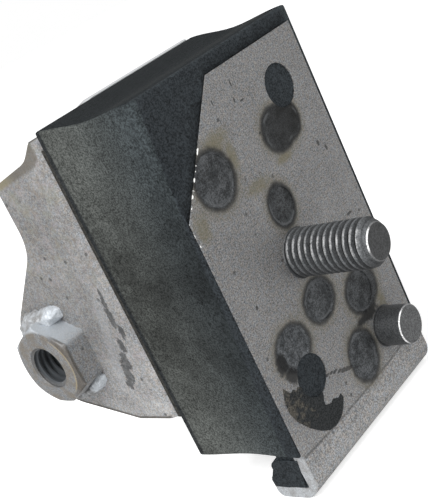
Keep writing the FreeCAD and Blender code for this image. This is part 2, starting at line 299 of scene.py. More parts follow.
# %% [markdown]
# ## Modelling helpers
# An operator works on whatever is selected, so each helper starts from an empty selection.
# Faces and edges are picked by where they are and which way they face.

# %% Selecting and modifying
DOUBLE = 0.001


def only(piece):
    """Select one piece and nothing else."""
    bpy.ops.object.select_all(action="DESELECT")
    piece.select_set(True)
    bpy.context.view_layer.objects.active = piece


def modify(piece, kind, **settings):
    """Add a modifier and apply it at once."""
    only(piece)
    modifier = piece.modifiers.new(kind.lower(), kind)
    for setting, value in settings.items():
        setattr(modifier, setting, value)
    bpy.ops.object.modifier_apply(modifier=modifier.name)
    return piece


def pick(piece, mode, test):
    """Enter edit mode with the faces, edges or vertices selected that pass a test."""
    only(piece)
    bpy.ops.object.mode_set(mode="EDIT")
    bpy.ops.mesh.select_mode(type=mode)
    bpy.ops.mesh.select_all(action="DESELECT")
    mesh = bmesh.from_edit_mesh(piece.data)
    group = {"FACE": mesh.faces, "EDGE": mesh.edges, "VERT": mesh.verts}[mode]
    for item in group:
        if test(item):
            item.select_set(True)
    mesh.select_flush_mode()
    bmesh.update_edit_mesh(piece.data)
    return sum(item.select for item in group)


def leave():
    bpy.ops.object.mode_set(mode="OBJECT")


def settle():
    """Apply the selected piece's place, turn and scale to its mesh."""
    bpy.ops.object.transform_apply(location=True, rotation=True, scale=True)


def soften(width, segments=3):
    """Bevel the selected edges and leave edit mode."""
    bpy.ops.mesh.bevel(offset=width * MM, segments=segments, affect="EDGES")
    leave()


def everything(item):
    return True


def volume(piece):
    """Cubic millimetres inside a closed piece; below zero if it is inside out."""
    mesh = bmesh.new()
    mesh.from_mesh(piece.data)
    amount = mesh.calc_volume(signed=True) / MM ** 3
    mesh.free()
    return amount


def tidy(piece, angle=30, merge=True):
    """Merge doubles, turn the faces outwards and smooth all but the sharp edges."""
    pick(piece, "VERT", everything)
    if merge:
        bpy.ops.mesh.remove_doubles(threshold=DOUBLE * MM)
    bpy.ops.mesh.normals_make_consistent(inside=False)
    leave()
    if volume(piece) < 0:
        pick(piece, "FACE", everything)
        bpy.ops.mesh.flip_normals()
        leave()
    settle()
    bpy.ops.object.shade_smooth_by_angle(angle=math.radians(angle))
    return modify(piece, "WEIGHTED_NORMAL", keep_sharp=True)


def box(name, low, high):
    """A block between two corners given in millimetres."""
    low, high = Vector(low) * MM, Vector(high) * MM
    bpy.ops.object.select_all(action="DESELECT")
    bpy.ops.mesh.primitive_cube_add(size=1, location=(low + high) / 2)
    piece = bpy.context.object
    piece.name = name
    piece.scale = high - low
    settle()
    return piece


def draw(name, points, fill=True):
    """A line drawn corner by corner, in millimetres, and filled to a face if wanted."""
    points = [Vector(point) * MM for point in points]
    bpy.ops.object.select_all(action="DESELECT")
    bpy.ops.mesh.primitive_plane_add(size=MM)
    piece = bpy.context.object
    piece.name = name
    pick(piece, "VERT", lambda vertex: vertex.index > 0)
    bpy.ops.mesh.delete(type="VERT")
    bpy.ops.mesh.select_all(action="SELECT")
    start = bmesh.from_edit_mesh(piece.data).verts[:][0].co.copy()
    bpy.ops.transform.translate(value=points[0] - start)
    for here, there in zip(points, points[1:]):
        bpy.ops.mesh.extrude_vertices_move(TRANSFORM_OT_translate={"value": there - here})
    bpy.ops.mesh.select_all(action="SELECT")
    if fill:
        bpy.ops.mesh.edge_face_add()
    leave()
    return piece


def pull(piece, move):
    """Pull a flat face into a solid."""
    pick(piece, "FACE", everything)
    bpy.ops.mesh.extrude_region_move(TRANSFORM_OT_translate={"value": Vector(move) * MM})
    leave()
    return tidy(piece)


def join_solid(piece, tool, operation="UNION"):
    """Add one solid to another, cut it away or keep what they share."""
    modify(piece, "BOOLEAN", object=tool, operation=operation, solver="EXACT")
    bpy.data.objects.remove(tool)
    return piece


def from_cad(node, name, flat_faces=True):
    """A new piece that starts as a copy of a CAD node's mesh, with its doubles merged."""
    piece = bpy.data.objects.new(name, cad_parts[node].data.copy())
    bpy.context.scene.collection.objects.link(piece)
    only(piece)
    if piece.data.has_custom_normals:
        bpy.ops.mesh.customdata_custom_splitnormals_clear()
    pick(piece, "VERT", everything)
    bpy.ops.mesh.remove_doubles(threshold=DOUBLE * MM)
    if flat_faces:
        bpy.ops.mesh.dissolve_limited(angle_limit=math.radians(0.5))
    leave()
    piece.data.materials.clear()
    return piece


def dress(piece, finish, slot, *nodes):
    """Give a piece its material and its body, and hide the CAD nodes it stands for; slot is
    not used.
    """
    piece.data.materials.clear()
    piece.data.materials.append(finish.material)
    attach(piece, "root")
    if nodes:
        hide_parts(*nodes)
    triangles = sum(len(face.vertices) - 2 for face in piece.data.polygons)
    print(piece.name, "has", triangles, "triangles")


# %% [markdown]
# ## The stud
# A 1/2 inch stud with 13 threads to the inch. One pitch of the thread is drawn as a line and
# wound about the axis by the Screw modifier, which gives a true helix. The wound sheet is
# closed and cut to the blank that was turned first: point, plain relief, shoulder and head.

# %% Thread sizes
PITCH = 25.4 / 13
THREAD_DEPTH = 0.6134 * PITCH
STUD = {"radius": 6.35, "length": 24.5, "point": 1.75, "taper": 2.4, "relief": 0.4,
        "relief_radius": 5.6, "shoulder": 6.6, "seat": 5.7, "head": 11.0, "back": 10.7}
TURN_STEPS = 48
print("pitch", round(PITCH, 3), "mm, depth", round(THREAD_DEPTH, 3), "mm")


# %% Wind and turn
def thread(name, radius, turns):
    """A closed threaded rod along +Z from z = 0, with right-hand thread."""
    root = radius - THREAD_DEPTH
    profile = [(root, 0), (root, 0.10), (radius - 0.06, 0.36), (radius, 0.42), (radius, 0.58),
               (radius - 0.06, 0.64), (root, 0.90), (root, 1)]
    piece = draw(name, [(r, 0, step * PITCH) for r, step in profile], fill=False)
    modify(piece, "SCREW", axis="Z", angle=2 * math.pi, screw_offset=PITCH * MM,
           iterations=turns, steps=TURN_STEPS, render_steps=TURN_STEPS)
    pick(piece, "EDGE", lambda edge: edge.is_boundary)
    bpy.ops.mesh.edge_face_add()
    leave()
    return tidy(piece)


def turned(name, profile, steps=96):
    """A solid of revolution about Z from its half profile."""
    piece = draw(name, [(r, 0, z) for r, z in profile], fill=False)
    modify(piece, "SCREW", axis="Z", angle=2 * math.pi, steps=steps, render_steps=steps,
           use_merge_vertices=True, merge_threshold=DOUBLE * MM)
    return tidy(piece)


# %% [markdown]
# ## Sheet steel
# The plate and the bracket are bare rolled steel. Close up such a sheet is never one grey:
# there is a fine grain, there are clouds of slightly warmer and cooler grey, and a few dark
# pits. Each is one layer of noise at its own size.


# %% Bare steel
def steel_base(finish, level, warm=0.01, grain=1.0, cloud=0.20):
    """The grey of bare sheet steel, as a colour that further layers are laid over."""
    clouds = finish.noise(9.0, 3.0, 0.6)
    fine = finish.grain(shift=40.0)
    middle = finish.noise(1.2, 3.0, 0.7, shift=80.0)
    light = (clouds - 0.5) * cloud * 2 + (fine - 0.5) * grain + (middle - 0.5) * 0.80 + 1
    warmth = finish.noise(1.0, 3.0, 0.7, shift=120.0).ramp(0.36, 0.64)
    colour = finish.tint(warmth, grey(level, warm - 0.03), grey(level, warm + 0.03))
    return finish.shade(colour, light)


def pits(finish, colour, size=2.4, share=0.07):
    """Small dark pits in a steel colour."""
    marks = finish.specks(size, share)
    return finish.tint(marks * 0.65, colour, grey(38)), marks


# %% [markdown]
# ## The front plate's steel
# Seven spot welds hold the plates together. An electrode leaves a dull dark disc with a
# darker rim, and the heat leaves a yellow-brown halo outside it. All of them are made from
# one number: how far a point is from the nearest weld's centre, counted in its own radii.
# Smears and scratches are made the same way, from flat ovals at the places where they lie.
# An oval is its place across and up and its two radii. The first two make one wide weld.

# %% Spot welds
WELDS = [
    (11.7, 29.6, 6.8, 6.0), (16.4, 29.8, 5.0, 5.3), (-16.6, 29.1, 7.3, 7.3),
    (1.0, 13.0, 5.2, 5.8), (-0.8, -13.6, 6.7, 5.9), (16.0, -20.8, 7.4, 6.2),
    (6.2, -35.2, 6.4, 7.4), (-16.7, -18.0, 7.1, 6.1),
]
SMEARS = [(-22.6, -19.0, 2.7, 3.2), (-21.0, -23.0, 2.7, 3.0), (14.2, -27.6, 6.0, 1.8)]
OIL = [(-10.5, 36.6, 5.5, 3.0), (-27.0, 21.5, 3.2, 4.5), (22.2, -30.5, 2.6, 8.0),
       (-4.0, 21.0, 6.0, 2.2), (9.5, 22.4, 4.5, 1.6), (-7.6, 31.6, 2.0, 4.6)]
TICKS = [
    (24.2, -1.6, 1.5, 0.42), (28.6, -3.0, 0.5, 0.5), (23.6, 37.9, 0.35, 0.7),
    (3.6, 41.0, 0.9, 0.35), (1.0, 42.1, 0.35, 0.8), (-22.1, -2.8, 0.5, 0.6),
    (23.9, 19.6, 0.6, 1.0), (26.3, 17.3, 0.5, 0.9), (-9.7, -30.7, 1.0, 0.45),
    (-8.2, -31.1, 1.0, 0.40), (-6.6, -31.7, 1.1, 0.45), (-5.0, -32.6, 1.1, 0.45),
    (-3.6, -33.4, 1.2, 0.60), (-2.2, -34.0, 1.2, 0.60), (-0.8, -34.5, 1.2, 0.55),
    (2.2, 46.2, 0.3, 1.1), (-6.5, 44.5, 0.25, 0.9), (4.6, 31.5, 0.5, 0.3),
]


def nearest_oval(finish, ovals, axis=0):
    """Distance to the nearest oval, 0 at its centre and 1 at its rim, in the plane of an axis
    (0 for the plate, 1 for the bracket's ear) and of Z."""
    nearest = None
    for across, up, wide, high in ovals:
        centre, scale = [0, 0, up], [0, 0, 1 / high]
        centre[axis], scale[axis] = across, 1 / wide
        offset = finish.vector("SUBTRACT", finish.place, centre)
        offset = finish.vector("MULTIPLY", offset, scale)
        far = finish.vector("LENGTH", offset, out=1)
        nearest = far if nearest is None else nearest.least(far, 0.25)
    return nearest


print(len(WELDS), "ovals of weld and", len(SMEARS + OIL + TICKS), "smears and marks")

# %% [markdown]
# ## Laying the plate's marks
# Marks are laid in the order in which they came: the bare sheet, the painted light and shade
# of the bend line of its lip, the burnt rings round the welds, the discs, then dirt, scratches
# and the burrs that the shear left along the cut corner, painted bright as highlights.

# %% Where the plate bends and ends
BEND_START, BEND_FALL, BEND_CURVE = -41.8, -0.067, 0.001
CUT_LOW, CUT_ACROSS, CUT_UP = 24.4, 25.4, 26.7


def bend_line(finish):
    """Height above the faint line where the plate's lip begins, in millimetres."""
    along = finish.x + 30
    return finish.z - (along * BEND_FALL + along * along * BEND_CURVE + BEND_START)


def edge_distance(finish):
    """Distance in from the plate's left edge and its cut corner."""
    left = finish.x + 30
    cut = left * CUT_UP - (finish.z - CUT_LOW) * CUT_ACROSS
    return left.least(cut / math.hypot(CUT_UP, CUT_ACROSS))


def bend_shading(finish, colour, ragged, face):
    """Painted light and shade across the plate's lip, and painted shade in the crease where it
    begins.
    """
    above = bend_line(finish)
    # Painted light: lighter towards the bend line, and more so on the lip below it.
    colour = finish.shade(colour, above.ramp(12.0, 0.0) * 0.20 + above.ramp(0.4, -0.8) * 0.22
                          + above.ramp(-2.0, -9.0) * 0.24 + 1)
    # Painted shade: a dark line in the crease where the lip begins.
    crease = abs(above + ragged * 0.5).ramp(0.55, 0.10) * face
    crease = crease * (finish.noise(3.4, 3.0, 0.6, shift=215.0).ramp(0.36, 0.50) * 0.6 + 0.4)
    return finish.tint(crease * 0.62, colour, grey(66)), crease


# %% Burnt rings and discs
def spot_welds(finish, colour, ragged, face, mottle, fine):
    """The halo, the disc, a painted highlight on its inner ring and its dark rim, at every
    weld.
    """
    far = nearest_oval(finish, WELDS) + ragged * 0.22
    halo = far.ramp(1.55, 0.98) * face
    colour = finish.tint(halo * 0.50, colour, (0.110, 0.096, 0.060))
    oil = (nearest_oval(finish, OIL) + ragged * 1.1).ramp(1.15, 0.35) * face
    colour = finish.tint(oil * 0.55, colour, (0.125, 0.108, 0.056))
    disc = far.ramp(1.06, 0.90) * face
    weld = finish.tint(mottle.ramp(0.36, 0.62), grey(64, -0.05), grey(104, -0.03))
    spread = finish.x * -0.0115 + finish.z * -0.0055 + 0.53
    weld = finish.shade(weld, (fine * 1.1 + 0.45) * spread)
    colour = finish.tint(disc * 0.95, colour, weld)
    # Painted highlight: a broken bright ring inside the disc, where the dent's edge catches
    # light.
    ring_highlight = far.ramp(0.70, 0.82) * far.ramp(0.92, 0.84) * face
    lit = finish.noise(6.0, 2.0, 0.5, shift=280.0).ramp(0.46, 0.62)
    colour = finish.tint(ring_highlight * lit * 0.38, colour, grey(120, -0.02))
    rim = far.ramp(0.84, 0.98) * far.ramp(1.16, 1.0) * face
    burnt = finish.tint(fine, grey(30, -0.01), grey(50, -0.01))
    return finish.tint(rim * 0.74, colour, burnt), disc


# %% Dirt, scratches and bright edges
def dirt(finish, colour, ragged, face):
    smear = (nearest_oval(finish, SMEARS) + ragged * 1.6).ramp(1.1, 0.6) * face
    colour = finish.tint(smear * 0.94, colour, grey(36, -0.01))
    tick = (nearest_oval(finish, TICKS) + ragged * 1.2).ramp(1.1, 0.7) * face
    return finish.tint(tick * 0.8, colour, grey(40)), tick


def bright_edges(finish, colour, face, mottle, fine):
    """Burrs on the cut corner, painted near white as highlights, and the hook's pale sheared
    end.
    """
    # Painted highlights on the burrs along the cut corner.
    burr_highlight = edge_distance(finish).ramp(0.34, 0.10) * finish.z.ramp(13.0, 15.0)
    burr_highlight = burr_highlight * finish.z.ramp(40.0, 38.0)
    burr_highlight = burr_highlight * finish.noise(1.8, 2.0, 0.6, shift=300.0).ramp(0.56, 0.60) * face
    colour = finish.tint(burr_highlight * 0.95, colour, (0.95, 0.95, 0.93))
    end = finish.x.ramp(-29.6, -29.85) * finish.z.ramp(-40.0, -42.5)
    pale = finish.tint(mottle.ramp(0.40, 0.60), grey(150, 0.0), grey(178, -0.02))
    return finish.tint(end * 0.9, colour, finish.shade(pale, fine * 0.5 + 0.75))


# %% Plate steel, all layers
def plate_steel():
    finish = Finish("plate_steel")
    face = finish.y.ramp(1.2, 0.6)
    ragged = finish.noise(2.6, 4.0, 0.65, shift=200.0) - 0.5
    mottle = finish.noise(4.0, 5.0, 0.7, shift=240.0)
    fine = finish.grain(shift=260.0)
    colour, pitted = pits(finish, steel_base(finish, 115, 0.002))
    colour, crease = bend_shading(finish, colour, ragged, face)
    colour, disc = spot_welds(finish, colour, ragged, face, mottle, fine)
    colour, tick = dirt(finish, colour, ragged, face)
    finish.feed("Base Color", bright_edges(finish, colour, face, mottle, fine))
    finish.feed("Metallic", 0.45 + disc * 0.35)
    rough = finish.noise(1.8, 3.0, 0.6, shift=330.0)
    finish.feed("Roughness", 0.46 + rough * 0.20 + disc * 0.08)
    relief = (finish.noise(0.6, 2.0, 0.6, shift=350.0) * 0.06 - pitted * 0.05 - tick * 0.06
              + disc * fine * 0.05 - crease * 0.05)
    finish.bump(relief)
    return finish


# %% [markdown]
# ## Rubber
# The moulded faces that touched clean tool steel are almost black. The sides have picked up
# a brown-grey dust, so a mask says where the dust lies, with a border that wanders a little.
# A plain round mark of the mould shows on the side, and a black line of painted shade runs
# along the rear edge, where the rubber meets its lip.

# %% Where the dust lies
MOULD_MARK = (0, 26.3, -7.8)


def from_line(finish, axis, point):
    """How far a place lies from a line along an axis through a point, and which way."""
    across = [1, 1, 1]
    across[axis] = 0
    offset = finish.vector("SUBTRACT", finish.place, point)
    offset = finish.vector("MULTIPLY", offset, across)
    return finish.vector("LENGTH", offset, out=1), offset


def clean_rubber(finish, wander, lifted):
    """1 where the mould kept the dust off: round the plate, in the hook, on the top's edge."""
    inward = 32.45 - abs(finish.x - 1.75)
    border = (finish.z - 24.4).most(0) * 0.114 - (24.4 - finish.z).most(0) * 0.054
    front = (finish.y - inward * 1.1 + border + wander * 0.25).ramp(1.3, 0.7)
    edge = (finish.y + wander).ramp(1.7, 0.9)
    return (front * (1 - lifted)).most(edge * lifted).most(finish.z.ramp(-41.0, -41.8))


def dusty_rubber(finish, wander, lifted, cloud, disc):
    """Dust that thickens to the rear and to both ends; a darker top with a painted sheen, a
    darker lip.
    """
    dust = finish.tint(finish.y.ramp(0.0, 32.0), (0.028, 0.0335, 0.036), (0.062, 0.066, 0.062))
    dusty = cloud.ramp(0.36, 0.66) * 0.4 + abs(finish.z - 5).ramp(5.0, 45.0) * 0.66 + 0.48
    dust = finish.shade(dust, dusty)
    # Painted sheen: a lighter band across the top, near its front.
    sheen = abs(finish.y - 8 + wander).ramp(6.0, 1.0)
    top = finish.tint(sheen, (0.010, 0.0122, 0.0137), (0.016, 0.0185, 0.0195))
    dust = finish.tint(lifted * 0.97, dust, top)
    dust = finish.shade(dust, 1 - disc * 0.16)
    # Painted shade: a black line along the rear of the side, where it steps onto the lip.
    corner = (finish.y + wander * 0.25).ramp(33.0, 33.8) * finish.y.ramp(35.6, 35.2)
    dust = finish.tint(corner * 0.85, dust, (0.012, 0.014, 0.016))
    return finish.tint(finish.y.ramp(35.35, 35.6) * 0.9, dust, (0.034, 0.033, 0.030))


# %% Mould rubber
def mount_rubber():
    finish = Finish("mount_rubber", Specular_IOR_Level=0.08)
    wander = (finish.noise(7.0, 3.0, 0.55) - 0.5) * 2.4
    facing = finish.node("ShaderNodeNewGeometry", out="True Normal")
    lifted = finish.node("ShaderNodeSeparateXYZ", inputs={0: facing}, out=2).ramp(0.6, 0.9)
    clean = clean_rubber(finish, wander, lifted)
    fine = finish.grain(0.45, shift=30.0)
    grit = finish.noise(1.4, 3.0, 0.7, shift=45.0)
    cloud = finish.noise(13.0, 3.0, 0.6, shift=60.0)
    disc = from_line(finish, 0, MOULD_MARK)[0].ramp(6.6, 6.2) * finish.x.ramp(-30.0, -30.2)
    black = finish.tint(cloud, (0.019, 0.023, 0.0265), (0.026, 0.0305, 0.034))
    colour = finish.tint(clean, dusty_rubber(finish, wander, lifted, cloud, disc), black)
    finish.feed("Base Color", finish.shade(colour, fine - 0.5 + (grit - 0.5) * 1.2 + 1))
    finish.feed("Roughness", 0.60 + cloud * 0.14 + (1 - clean) * 0.12 + lifted * 0.2)
    finish.bump(fine * 0.05 + finish.noise(2.5, 3.0, 0.6, shift=90.0) * 0.10 - disc * 0.12)
    return finish


# %% Flash rubber
def flash_rubber():
    """The thin skin on the plate: black, and brown where it wears through to the steel."""
    finish = Finish("flash_rubber", Specular_IOR_Level=0.10)
    cloud = finish.noise(2.6, 4.0, 0.7)
    fine = finish.noise(0.45, 2.0, 0.8, shift=30.0)
    thin = (finish.x + (cloud - 0.5) * 40).ramp(-21.0, -28.0) * finish.z.ramp(-42.0, -36.0)
    colour = finish.tint(thin * 0.65, (0.021, 0.023, 0.024), (0.085, 0.077, 0.063))
    finish.feed("Base Color", finish.shade(colour, fine.ramp(0.36, 0.64) * 1.1 + 0.45))
    finish.feed("Roughness", 0.62 + cloud * 0.15)
    finish.bump(fine * 0.06 + cloud * 0.10)
    return finish


# %% [markdown]
# ## Bracket, nut and fasteners
# The bracket's steel is lighter than the plate's, with pink and brown tints of beginning
# rust, brown cut edges and dark scars where the tool dragged along the bend; light is
# painted towards the bottom of the ear and along that bend. The nut took heat from its welds,
# and light and shade are painted on its flats, chamfer and bore. The stud and the pin are
# dark, with crests and rims rubbed lighter, painted highlights on them and painted shade.


# %% Bracket steel
SCARS = [(41.2, 10.4, 0.5, 1.8), (41.5, 7.3, 0.7, 2.1), (41.9, 4.2, 1.0, 2.2),
         (41.8, 1.6, 1.2, 1.8), (40.5, -1.4, 0.9, 2.4), (43.2, -5.6, 1.2, 2.4),
         (44.8, -9.8, 1.4, 3.0), (46.6, -14.2, 1.7, 3.4), (48.0, -17.6, 1.1, 1.8)]


def ear_marks(finish, colour):
    """The near ear's outside: a painted light streak along its bend, scars next to it and
    brown sheared edges.
    """
    outside = finish.x.ramp(-30.7, -30.95)
    # Painted light: a pale streak along the gentle bend, next to the scars.
    path = finish.y - 40.8 - (10.0 - finish.z) * 0.25
    bend_light = abs(path - 3.2).ramp(2.4, 0.8) * finish.z.ramp(-22.0, -16.0)
    bend_light = bend_light * finish.z.ramp(12.0, 6.0) * outside
    colour = finish.tint(bend_light * 0.25, colour, (0.36, 0.375, 0.40))
    ragged = finish.noise(1.8, 4.0, 0.7, shift=95.0) - 0.5
    scar = (nearest_oval(finish, SCARS, 1) + ragged * 2.2).ramp(1.15, 0.85) * outside
    torn = finish.tint(ragged.ramp(-0.1, 0.1), grey(58, -0.02), grey(92, -0.01))
    colour = finish.tint(scar * 0.85, colour, torn)
    arm = (56.7 - finish.y) * 0.2 + 45.4 + (42.8 - finish.y).most(0) ** 2 * 0.06 - finish.z
    sheared = (arm + ragged * 2.0).ramp(1.9, 0.9) * outside * finish.y.ramp(36.6, 38.2)
    colour = finish.tint(sheared * 0.75, colour, finish.tint(
        finish.y.ramp(50.0, 56.0), (0.115, 0.102, 0.082), (0.22, 0.195, 0.12)))
    outline = (finish.y - 51).most(0) * 0.2675 - 28.8
    under = (finish.z - outline + ragged * 0.6).ramp(1.0, 0.5) * outside
    return finish.tint(under * 0.85, colour, (0.060, 0.053, 0.043)), scar


def bracket_steel():
    finish = Finish("bracket_steel", Metallic=0.4)
    colour = steel_base(finish, 128, 0.002, grain=0.65, cloud=0.45)
    # Painted light: the ear is lighter towards the bottom and next to the rubber, along its
    # bend.
    low = finish.z.ramp(6.0, -22.0) * 0.30 + finish.y.ramp(48.0, 42.0) * 0.16 + 1
    colour = finish.shade(colour, low)
    rust = finish.noise(2.8, 4.0, 0.7, shift=15.0)
    upper = finish.z.ramp(-10.0, 35.0)
    colour = finish.tint(rust.ramp(0.50, 0.66) * (upper * 0.30 + 0.14), colour,
                         (0.200, 0.165, 0.125))
    pink = finish.noise(4.0, 4.0, 0.65, shift=55.0)
    colour = finish.tint(pink.ramp(0.52, 0.66) * 0.28, colour, (0.32, 0.275, 0.29))
    green = finish.noise(6.0, 3.0, 0.6, shift=75.0)
    colour = finish.tint(green.ramp(0.54, 0.68) * upper * 0.3, colour, (0.25, 0.26, 0.20))
    colour, pitted = pits(finish, colour, 2.6, 0.05)
    colour, scar = ear_marks(finish, colour)
    side = finish.node("ShaderNodeNewGeometry", out="True Normal")
    side = abs(finish.node("ShaderNodeSeparateXYZ", inputs={0: side}, out=0))
    cut = side.ramp(0.80, 0.55) * finish.y.ramp(39.6, 41.0)
    brown = finish.tint(rust.ramp(0.42, 0.60), (0.105, 0.092, 0.072), (0.185, 0.165, 0.120))
    colour = finish.tint(cut * 0.85, colour, brown)
    strip = finish.z.ramp(54.9, 55.2) * finish.y.ramp(38.6, 38.0)
    colour = finish.tint(strip * 0.8, colour, grey(196, -0.01))
    lug = finish.z.ramp(-26.0, -28.3) * finish.y.ramp(39.6, 41.0)
    colour = finish.tint(lug * cut * 0.5, colour, grey(150))
    finish.feed("Base Color", colour)
    finish.feed("Roughness", 0.44 + rust * 0.24)
    finish.bump(finish.noise(0.7, 2.0, 0.6, shift=170.0) * 0.05 - pitted * 0.05
                - scar * 0.10)
    return finish


# %% Nut steel
NUT_CENTRE = (0, 66.8, -6.1)


def nut_steel():
    finish = Finish("nut_steel", Metallic=0.4)
    colour = steel_base(finish, 134, -0.004, grain=0.65)
    tan = finish.noise(3.5, 4.0, 0.65, shift=12.0)
    face = finish.x.ramp(-38.5, -39.0)
    colour = finish.tint(tan.ramp(0.44, 0.60) * (face * 0.5 + 0.08), colour,
                         (0.200, 0.165, 0.120))
    colour = finish.shade(colour, face * -0.22 + 1)
    # Painted light: the flats above the axis are painted pale, as if lit from above.
    upper_flat_light = finish.z.ramp(-2.0, 2.5) * (1 - face)
    colour = finish.tint(upper_flat_light * 0.7, colour, grey(184, -0.035))
    radius = from_line(finish, 0, NUT_CENTRE)[0]
    right = finish.y.ramp(62.0, 58.5)
    # Painted shade: the chamfer on the side towards the rubber is painted dark brown.
    crown = radius.ramp(10.2, 10.5) * finish.x.ramp(-37.6, -38.2) * right
    colour = finish.tint(crown * 0.7, colour, (0.075, 0.062, 0.048))
    # Painted highlight, in the gold of heat: an arc along the face's rim on that side.
    gold = radius.ramp(9.75, 9.95) * radius.ramp(10.45, 10.2) * right
    colour = finish.tint(gold * 0.6, colour, (0.34, 0.275, 0.16))
    lead = radius.ramp(6.6, 6.4) * radius.ramp(5.5, 5.7)
    colour = finish.tint(lead * 0.75, colour, grey(88, 0.0))
    # Painted shade inside the bore and its thread.
    hole = radius.ramp(6.6, 6.5) * finish.x.ramp(-38.5, -37.9)
    colour = finish.tint(hole * 0.95, colour, grey(72, -0.05))
    colour, pitted = pits(finish, colour, 2.0, 0.08)
    finish.feed("Base Color", colour)
    finish.feed("Roughness", 0.42 + tan * 0.20)
    finish.bump(finish.noise(0.6, 2.0, 0.6, shift=44.0) * 0.04 - pitted * 0.05)
    return finish


# %% Weld metal
def weld_steel():
    finish = Finish("weld_steel", Metallic=0.3, Specular_IOR_Level=0.35)
    fine = finish.noise(0.6, 2.0, 0.7)
    heat = finish.noise(3.0, 4.0, 0.65, shift=25.0)
    colour = finish.tint(heat.ramp(0.40, 0.60), grey(168, -0.02), grey(138, 0.0))
    # Painted highlight: the bead is painted near white towards its end by the rubber.
    end = (finish.y + (heat - 0.5) * 6 - finish.z.ramp(0.0, 4.0) * 3).ramp(62.0, 59.5)
    colour = finish.tint(end * 0.8, colour, grey(200, -0.03))
    finish.feed("Base Color", finish.shade(colour, fine * 1.0 + 0.5))
    finish.feed("Roughness", 0.50 + heat * 0.25)
    finish.bump(fine * 0.08 + heat * 0.2)
    return finish


# %% Stud and pin steel
PIN_FOOT = (19.6, 0, -34.4)


def stud_steel():
    finish = Finish("stud_steel", Metallic=0.35, Specular_IOR_Level=0.3)
    radius, offset = from_line(finish, 1, (0, 0, 0))
    upper_left = finish.vector("DOT_PRODUCT", offset, (-0.83, 0, 0.55), out=1)
    fine = finish.noise(0.42, 2.0, 0.8)
    cloud = finish.noise(2.4, 4.0, 0.65, shift=20.0)
    point = finish.y.ramp(-21.6, -22.4)
    # Painted shade: the thread's roots are painted near black, except on the point.
    colour = finish.tint(radius.ramp(5.15, 5.5).most(point), grey(20), grey(86, -0.02))
    crest = (radius + (cloud - 0.5) * 0.9).ramp(6.05, 6.25).most(point * 0.5)
    colour = finish.tint(crest * 0.7, colour, grey(116, -0.02))
    glint = crest * (upper_left + (cloud - 0.5) * 6).ramp(5.1, 6.3)
    glint = glint * finish.y.ramp(-23.9, -23.3)
    colour = finish.tint(glint * 0.45, colour, grey(190))
    # Painted light and shade: lighter on the side facing up and to the left, darker round the
    # rest.
    colour = finish.shade(colour, upper_left.ramp(-1.5, 5.5) * 0.62 + 0.22)
    end = finish.y.ramp(-24.35, -24.42)
    colour = finish.tint(end, colour, grey(64, -0.01))
    # Painted highlight: a bright arc on the rim of the end, strongest to the upper left.
    tip_highlight = finish.y.ramp(-24.12, -24.24) * radius.ramp(4.52, 4.60)
    tip_highlight = tip_highlight * (upper_left.ramp(3.4, 4.3) * 0.85 + 0.12)
    colour = finish.tint(tip_highlight, colour, grey(225))
    finish.feed("Base Color", finish.shade(
        colour, cloud * 0.7 + fine.ramp(0.36, 0.64) * 0.7 + 0.3))
    finish.feed("Roughness", 0.56 - glint * 0.1 + cloud * 0.12)
    finish.bump(fine * 0.03 + cloud * 0.03)
    return finish


def pin_steel():
    finish = Finish("pin_steel", Metallic=0.55)
    radius = from_line(finish, 1, PIN_FOOT)[0]
    fine = finish.noise(0.42, 2.0, 0.8)
    cloud = finish.noise(2.4, 4.0, 0.65, shift=20.0)
    end = finish.y.ramp(-7.95, -8.05)
    colour = finish.tint(end, grey(80, -0.02), grey(88, -0.01))
    # Painted highlight: a bright rim on the chamfer, strongest on one side.
    rim = finish.y.ramp(-7.8, -7.92) * radius.ramp(5.12, 5.2) * radius.ramp(5.5, 5.44)
    side = ((finish.x - PIN_FOOT[0]) * -0.95 + (finish.z - PIN_FOOT[2]) * 0.30).ramp(1.5, 4.5)
    colour = finish.tint(rim * (side * 0.8 + 0.2), colour, grey(235))
    finish.feed("Base Color", finish.shade(
        colour, cloud * 0.6 + fine.ramp(0.36, 0.64) * 0.9 + 0.25))
    finish.feed("Roughness", 0.46 - rim * 0.16 + cloud * 0.12)
    finish.bump(fine * 0.03 + cloud * 0.02)
    return finish


def retainer_steel():
    finish = Finish("retainer_steel", Metallic=0.45)
    colour, pitted = pits(finish, steel_base(finish, 116))
    finish.feed("Base Color", colour)
    finish.feed("Roughness", 0.5 + finish.noise(1.8, 3.0, 0.6, shift=330.0) * 0.2)
    finish.bump(finish.noise(0.6, 2.0, 0.6, shift=350.0) * 0.04 - pitted * 0.05)
    return finish


finishes = {
    "plate_steel": plate_steel(),
    "mount_rubber": mount_rubber(),
    "flash_rubber": flash_rubber(),
    "bracket_steel": bracket_steel(),
    "nut_steel": nut_steel(),
    "weld_steel": weld_steel(),
    "stud_steel": stud_steel(),
    "pin_steel": pin_steel(),
    "retainer_steel": retainer_steel(),
}
print("finishes:", sorted(finishes))


# %% Stud
def lay_along_y(piece):
    """Turn a piece made about Z so that its Z runs along +Y."""
    only(piece)
    piece.rotation_euler = (math.radians(-90), 0, 0)
    settle()


